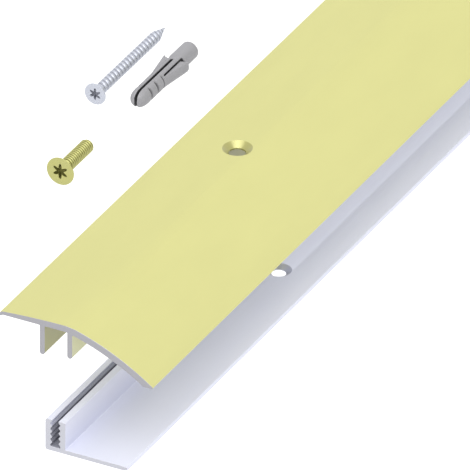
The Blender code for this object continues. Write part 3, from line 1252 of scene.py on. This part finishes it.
@dataclass
class Fastener:
    """A piece that is made once, and laid wherever the frame has one."""

    node: str
    piece: str
    slot: Slot
    crease: float
    tree: ShapeTree

    def blank(self) -> bpy.types.Object:
        """The upright piece that each copy is made from."""
        raise NotImplementedError

    def tree_inputs(self) -> dict[str, object]:
        """What the tree's inputs get, apart from the place."""
        raise NotImplementedError

    def build(self, count: int) -> None:
        """Makes one piece for each hole, where the frame has it.

        Args:
            count: How many there are.
        """
        blank = self.blank()
        inputs = self.tree_inputs()
        for number in range(1, count + 1):
            node = f"{self.node}_{number}"
            low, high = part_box(node)
            inputs["Place"] = Vector(((low.x + high.x) / 2, low.y, (low.z + high.z) / 2))
            modifier = self.tree.put_on(blank, inputs)
            mesh = plain_mesh(blank, f"{self.piece}_{number}")
            blank.modifiers.remove(modifier)
            finished(mesh.name, mesh, f"{node}_body", node, self.crease)
        discarded(blank)


@dataclass
class Screw(Fastener):
    """A countersunk six-lobe screw: its sizes, and how its thread is rolled."""

    finish: ZincPlate
    length: float
    head: float
    core: float
    thread: float
    pitch: float
    point: float
    tip: float
    recess: float
    recess_depth: float
    plain: float
    crest: float
    flank: float
    point_share: float
    rim: float = 0.25
    lobe_waist: float = 0.46
    lobe_sharpness: float = 2.2
    segments: int = 48
    rows_per_turn: int = 12

    def blank(self) -> bpy.types.Object:
        """Turns the blank with its head face at the origin, and sinks the six-lobe recess."""
        head, core, rim = self.head / 2, self.core / 2, self.rim
        cone_end = -rim - (head - core)
        top = [(0.0, 0.0), (head * 0.75, 0.0), (head - rim * 0.6, 0.0)]
        edge = [(head - rim * 0.15, -rim * 0.2), (head, -rim * 0.55), (head, -rim)]
        cone = [(core + 0.3, cone_end + 0.22)]
        shaft_top, shaft_end = cone_end - 0.25, self.point - self.length
        rows = round((shaft_top - shaft_end) / self.pitch * self.rows_per_turn)
        shaft = [(core, shaft_top + (shaft_end - shaft_top) * i / rows) for i in range(rows + 1)]
        steps = max(4, round(self.point / self.pitch * self.rows_per_turn))
        shares = [i / steps for i in range(1, steps + 1)]
        point = [(core + (self.tip - core) * s, shaft_end - self.point * s) for s in shares]
        profile = [*top, *edge, *cone, *shaft, *point, (0.0, -self.length)]
        blank = turned(f"{self.node}_blank", profile, self.segments)
        socket = self.recess_tool()
        combined(blank, socket, "DIFFERENCE")
        sunk = shown(blank.name + "_sunk", welded(plain_mesh(blank, blank.name)))
        discarded(blank, socket)
        return sunk

    def lobed(self, radius: float, height: float, turn: float) -> float:
        """Radius of the six-lobe outline at an angle."""
        swing = (1 - self.lobe_waist) * abs(math.sin(3 * turn)) ** self.lobe_sharpness
        return radius * (self.lobe_waist + swing)

    def recess_tool(self) -> bpy.types.Object:
        """Six-lobe driver shape with a lobe straight up and a shallow cone for its floor."""
        depth, mouth = self.recess_depth, self.recess
        profile = [
            (0.0, 1.0),
            (mouth * 1.06, 1.0),
            (mouth * 1.06, 0.02),
            (mouth, -0.08),
            (mouth * 0.97, -depth),
            (mouth * 0.35, -depth * 1.2),
            (0.0, -depth * 1.28),
        ]
        return turned(f"{self.node}_recess", profile, 96, self.lobed)

    def tree_inputs(self) -> dict[str, object]:
        """What the thread's tree gets: its sizes in metres, and the finish."""
        cone_end = self.rim + (self.head - self.core) / 2
        return {
            "Pitch": self.pitch * MM,
            "Depth": (self.thread - self.core) / 2 * MM,
            "Crest": self.crest,
            "Flank": self.flank,
            "Start": (cone_end + self.plain) * MM,
            "End": self.length * MM,
            "Point": (self.length - self.point) * MM,
            "Point Share": self.point_share,
            "Recess": self.recess * 1.08 * MM,
            "Recess Depth": self.recess_depth * 1.32 * MM,
            "Finish": self.finish.material(),
        }


@dataclass
class WallPlug(Fastener):
    """A split nylon plug with two flared tongues, grip grooves and a plain collar."""

    length: float = 31.0
    radius: float = 2.55
    bore: float = 1.2
    bore_end: float = 4.0
    nose: float = 4.2
    nose_fullness: float = 2.7
    slit_width: float = 0.75
    slit_length: float = 20.9
    tongue_root: float = 13.0
    tongue_length: float = 10.0
    tongue_width: float = 3.2
    tongue_thickness: float = 0.9
    tongue_gap: float = 0.35
    tongue_flare: float = 8.5
    groove_pitch: float = 3.5
    first_groove: float = 4.6
    groove_count: int = 3
    groove_depth: float = 0.6
    groove_width: float = 1.3
    nose_steps: int = 14
    row_height: float = 0.12
    rim_ease: float = 0.25
    voxel: float = 0.15
    finish: MouldedNylon = MouldedNylon("grey_nylon_moulding", (0.238, 0.236, 0.25))

    def grooved(self, radius: float, height: float, turn: float) -> float:
        """Radius with the grip grooves, which fade out towards the slit."""
        side = max(0.0, abs(math.cos(turn)) - 0.35) / 0.65
        for i in range(self.groove_count):
            past = height - (self.first_groove + i * self.groove_pitch)
            if 0.0 <= past <= self.groove_width:
                fall = 1.0 - past / self.groove_width
                radius -= self.groove_depth * fall * min(1.0, side * 1.8)
        return radius

    def sleeve(self) -> bpy.types.Object:
        """Turns the sleeve with its nose at the origin, and cuts its bore and slit."""
        steps, full = self.nose_steps, self.nose_fullness
        nose = []
        for i in range(1, steps + 1):
            height = self.nose * (1 - i / steps)
            share = 1 - height / self.nose
            nose.append((self.radius * (1 - share**full) ** (1 / full), height))
        rows = round((self.length - self.nose) / self.row_height)
        ease = self.rim_ease
        top = self.length - ease
        body = [(self.radius, top - (top - self.nose) * i / rows) for i in range(rows + 1)]
        rim = [
            (self.radius - ease, self.length),
            (self.radius - ease * 0.3, self.length - ease * 0.3),
        ]
        profile = [(0.0, self.length), *rim, *body, *nose[:-1], (0.0, 0.0)]
        sleeve = turned("plug_sleeve", profile, 64, self.grooved)
        past = self.length + 1.0
        bore = [
            (0.0, past),
            (self.bore + 0.2, past),
            (self.bore + 0.2, self.length),
            (self.bore, self.length - 0.5),
            (self.bore, self.bore_end + self.bore),
            (0.0, self.bore_end),
        ]
        slit = (self.slit_width, 4 * self.radius, 2 * self.slit_length)
        tools = [
            turned("plug_bore", bore, 48),
            block("plug_slit", slit, (0.0, 0.0, 0.0)),
            self.window(-1),
            self.window(+1),
        ]
        for tool in tools:
            combined(sleeve, tool, "DIFFERENCE")
        cut = shown("plug_cut", plain_mesh(sleeve, "plug_cut"))
        discarded(sleeve, *tools)
        return cut

    def window(self, side: int) -> bpy.types.Object:
        """Block that clears the sleeve's wall round one tongue."""
        depth = self.tongue_thickness + self.tongue_gap
        length = self.tongue_length + self.tongue_gap
        size = (2 * depth, self.tongue_width + 2 * self.tongue_gap, length)
        centre = (side * self.radius, 0.0, self.tongue_root + length / 2)
        return block(f"plug_window_{side}", size, centre)

    def tongue(self, side: int, flare: float, short: float) -> bpy.types.Object:
        """A strip of the sleeve's wall, bent outwards about its root.

        Args:
            side: Minus one for the left and one for the right.
            flare: How far it bends, in degrees.
            short: How much it lacks of the tongue's length.

        Returns:
            The strip.
        """
        root = self.tongue_root - self.tongue_thickness
        end = self.tongue_root + self.tongue_length - short
        size = (2 * self.tongue_thickness, self.tongue_width, end - root)
        strip = block(f"plug_tongue_{side}", size, (side * self.radius, 0.0, (root + end) / 2))
        side_on = [(0.0, self.length), (self.radius, self.length), (self.radius, 0.0), (0.0, 0.0)]
        outside = turned("plug_outside", side_on, 64)
        combined(strip, outside, "INTERSECT")
        mesh = plain_mesh(strip, strip.name)
        discarded(strip, outside)
        reach = side * (self.radius - self.tongue_thickness / 4)
        hinge = Matrix.Translation((reach * MM, 0.0, self.tongue_root * MM))
        bend = Matrix.Rotation(side * math.radians(flare), 4, "Y")
        mesh.transform(hinge @ bend @ hinge.inverted())
        return shown(f"plug_bent_tongue_{side}", mesh)

    def blank(self) -> bpy.types.Object:
        """Sleeve and wedge-shaped tongues as one skin with the soft edges of a moulding."""
        sleeve = self.sleeve()
        layers = ((0.1, 0.8), (self.tongue_flare / 2, 0.6), (self.tongue_flare, 0.0))
        tongues = [self.tongue(side, flare, short) for side in (-1, 1) for flare, short in layers]
        for tongue in tongues:
            combined(sleeve, tongue, "UNION")
        skin = sleeve.modifiers.new("moulded_skin", "REMESH")
        skin.mode = "VOXEL"
        skin.voxel_size = self.voxel * MM
        smooth = sleeve.modifiers.new("soft_edges", "SMOOTH")
        smooth.factor = 0.5
        smooth.iterations = 2
        moulded = shown("plug_moulding", plain_mesh(sleeve, "plug_moulding"))
        discarded(sleeve, *tongues)
        return moulded

    def tree_inputs(self) -> dict[str, object]:
        """What the plug's tree gets: its sizes in metres, and the finish."""
        return {
            "Radius": self.radius * MM,
            "Nose": self.nose * MM,
            "Fullness": self.nose_fullness,
            "Length": self.length * MM,
            "Finish": self.finish.material(),
        }


# --- Studio ---


@dataclass(frozen=True)
class Lamp:
    """One distant soft light: its strength, its spread in degrees and where it stands."""

    name: str
    energy: float
    spread: float
    direction: Triple
    shadow: bool = True

    def hang(self) -> None:
        """Adds the light to the scene."""
        data = bpy.data.lights.new(self.name, "SUN")
        data.energy = self.energy
        data.use_shadow = self.shadow
        data.angle = math.radians(self.spread)
        lamp = bpy.data.objects.new(self.name, data)
        lamp.rotation_mode = "QUATERNION"
        lamp.rotation_quaternion = Vector(self.direction).to_track_quat("Z", "Y")
        bpy.context.scene.collection.objects.link(lamp)


@dataclass
class Studio:
    """Pale floor, even soft light and a camera that looks along the cut end from far away."""

    azimuth: float = 27.44
    elevation: float = 30.70
    roll: float = 0.36
    aim_x: float = 5.99
    aim_from_end: float = 88.25
    aim_height: float = 20.0
    aim_shift: Point = (-0.37, -0.11)
    lens: float = 1700.0
    sensor: float = 36.0
    view_width: float = 121.29
    floor_size: float = 60.0
    floor_drop: float = 0.05
    floor_glow: float = 0.95
    sky: float = 1.0
    lamps: tuple[Lamp, ...] = (
        Lamp("soft_key", 0.6, 35.0, (0.24, -0.454, 0.86)),
        Lamp("low_fill", 0.4, 45.0, (0.30, -0.80, 0.52)),
        Lamp("shadowless_wash", 1.7, 60.0, (0.12, -0.30, 0.94), shadow=False),
    )

    def floor(self) -> None:
        """Lays the pale floor just under the strip."""
        half = self.floor_size / 2
        mesh = bpy.data.meshes.new("studio_floor")
        corners = [(-half, -half), (half, -half), (half, half), (-half, half)]
        mesh.from_pydata([(x, y, -self.floor_drop * MM) for x, y in corners], [], [(0, 1, 2, 3)])
        paper = Shading("pale_floor")
        mesh.materials.append(
            paper.surface(
                Base_Color=(0.25, 0.25, 0.25),
                Roughness=0.9,
                Emission_Color=(1.0, 1.0, 1.0),
                Emission_Strength=self.floor_glow,
            )
        )
        shown("studio_floor", mesh)

    def light(self) -> None:
        """Sets an even white surround, a broad soft key from above and a low soft fill."""
        world = bpy.data.worlds.new("studio_surround")
        world.use_nodes = True
        surround = world.node_tree.nodes["Background"]
        surround.inputs["Color"].default_value = (1.0, 1.0, 1.0, 1.0)
        surround.inputs["Strength"].default_value = self.sky
        bpy.context.scene.world = world
        for lamp in self.lamps:
            lamp.hang()

    def camera(self, near_end: float) -> None:
        """Sets the camera far off, so that the strip's long edges stay almost parallel.

        Args:
            near_end: Where the strip's near end is along Y, in metres.
        """
        data = bpy.data.cameras.new("long_lens")
        data.lens = self.lens
        data.sensor_width = self.sensor
        turn, rise = math.radians(self.azimuth), math.radians(self.elevation)
        back = Vector(
            (math.sin(turn) * math.cos(rise), -math.cos(turn) * math.cos(rise), math.sin(rise))
        )
        right = Vector((math.cos(turn), math.sin(turn), 0.0))
        aim = Vector((self.aim_x * MM, near_end + self.aim_from_end * MM, self.aim_height * MM))
        aim += (right * self.aim_shift[0] + back.cross(right) * self.aim_shift[1]) * MM
        distance = self.view_width * MM * self.lens / self.sensor
        data.clip_start = distance / 10
        data.clip_end = distance * 10
        camera = bpy.data.objects.new("long_lens", data)
        camera.rotation_mode = "QUATERNION"
        camera.location = aim + back * distance
        rolled = Quaternion((0.0, 0.0, 1.0), math.radians(self.roll))
        camera.rotation_quaternion = back.to_track_quat("Z", "Y") @ rolled
        bpy.context.scene.collection.objects.link(camera)
        bpy.context.scene.camera = camera
        bpy.context.scene.view_settings.view_transform = "Standard"


def main() -> None:
    """Loads the frame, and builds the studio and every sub-assembly."""
    logging.basicConfig(level=logging.INFO, format="%(name)s %(message)s")
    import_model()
    low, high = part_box("base_profile")
    length = high.y - low.y

    studio = Studio()
    studio.floor()
    studio.light()
    studio.camera(low.y)

    holes = HoleRow()
    strip_tree = StripTree()
    thread_tree = ThreadTree()
    BaseProfile(holes, strip_tree).build(length)
    CoverProfile(holes, strip_tree).build(length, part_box("cover_profile")[1].z)
    cover_screw = Screw(
        node="cover_screw",
        piece="cover_screw_rolled",
        slot=Slot.YELLOW_ZINC,
        crease=40.0,
        tree=thread_tree,
        finish=ZincPlate(
            name="yellow_passivated_zinc",
            colour=(0.40, 0.395, 0.15),
            groove_shade_colour=(0.14, 0.135, 0.03),
            tint=(0.42, 0.39, 0.11),
            metallic=0.55,
            roughness=0.38,
        ),
        length=15.8,
        head=8.0,
        core=3.2,
        thread=3.9,
        pitch=0.87,
        point=0.8,
        tip=1.2,
        recess=2.2,
        recess_depth=1.3,
        plain=0.2,
        crest=0.1,
        flank=0.8,
        point_share=0.5,
    )
    base_screw = Screw(
        node="base_screw",
        piece="base_screw_rolled",
        slot=Slot.BRIGHT_ZINC,
        crease=40.0,
        tree=thread_tree,
        finish=ZincPlate(
            name="bright_zinc_plate",
            colour=(0.43, 0.45, 0.51),
            groove_shade_colour=(0.27, 0.28, 0.325),
            tint=(0.47, 0.48, 0.53),
            metallic=0.5,
            roughness=0.4,
        ),
        length=39.0,
        head=6.2,
        core=2.55,
        thread=3.2,
        pitch=1.6,
        point=5.0,
        tip=0.15,
        recess=1.72,
        recess_depth=1.2,
        plain=0.3,
        crest=0.28,
        flank=0.6,
        point_share=0.25,
    )
    plug = WallPlug("wall_plug", "nylon_plug", Slot.NYLON, 80.0, PlugTree())
    for fastener in (cover_screw, base_screw, plug):
        fastener.build(holes.count)


if __name__ == "__main__":
    main()
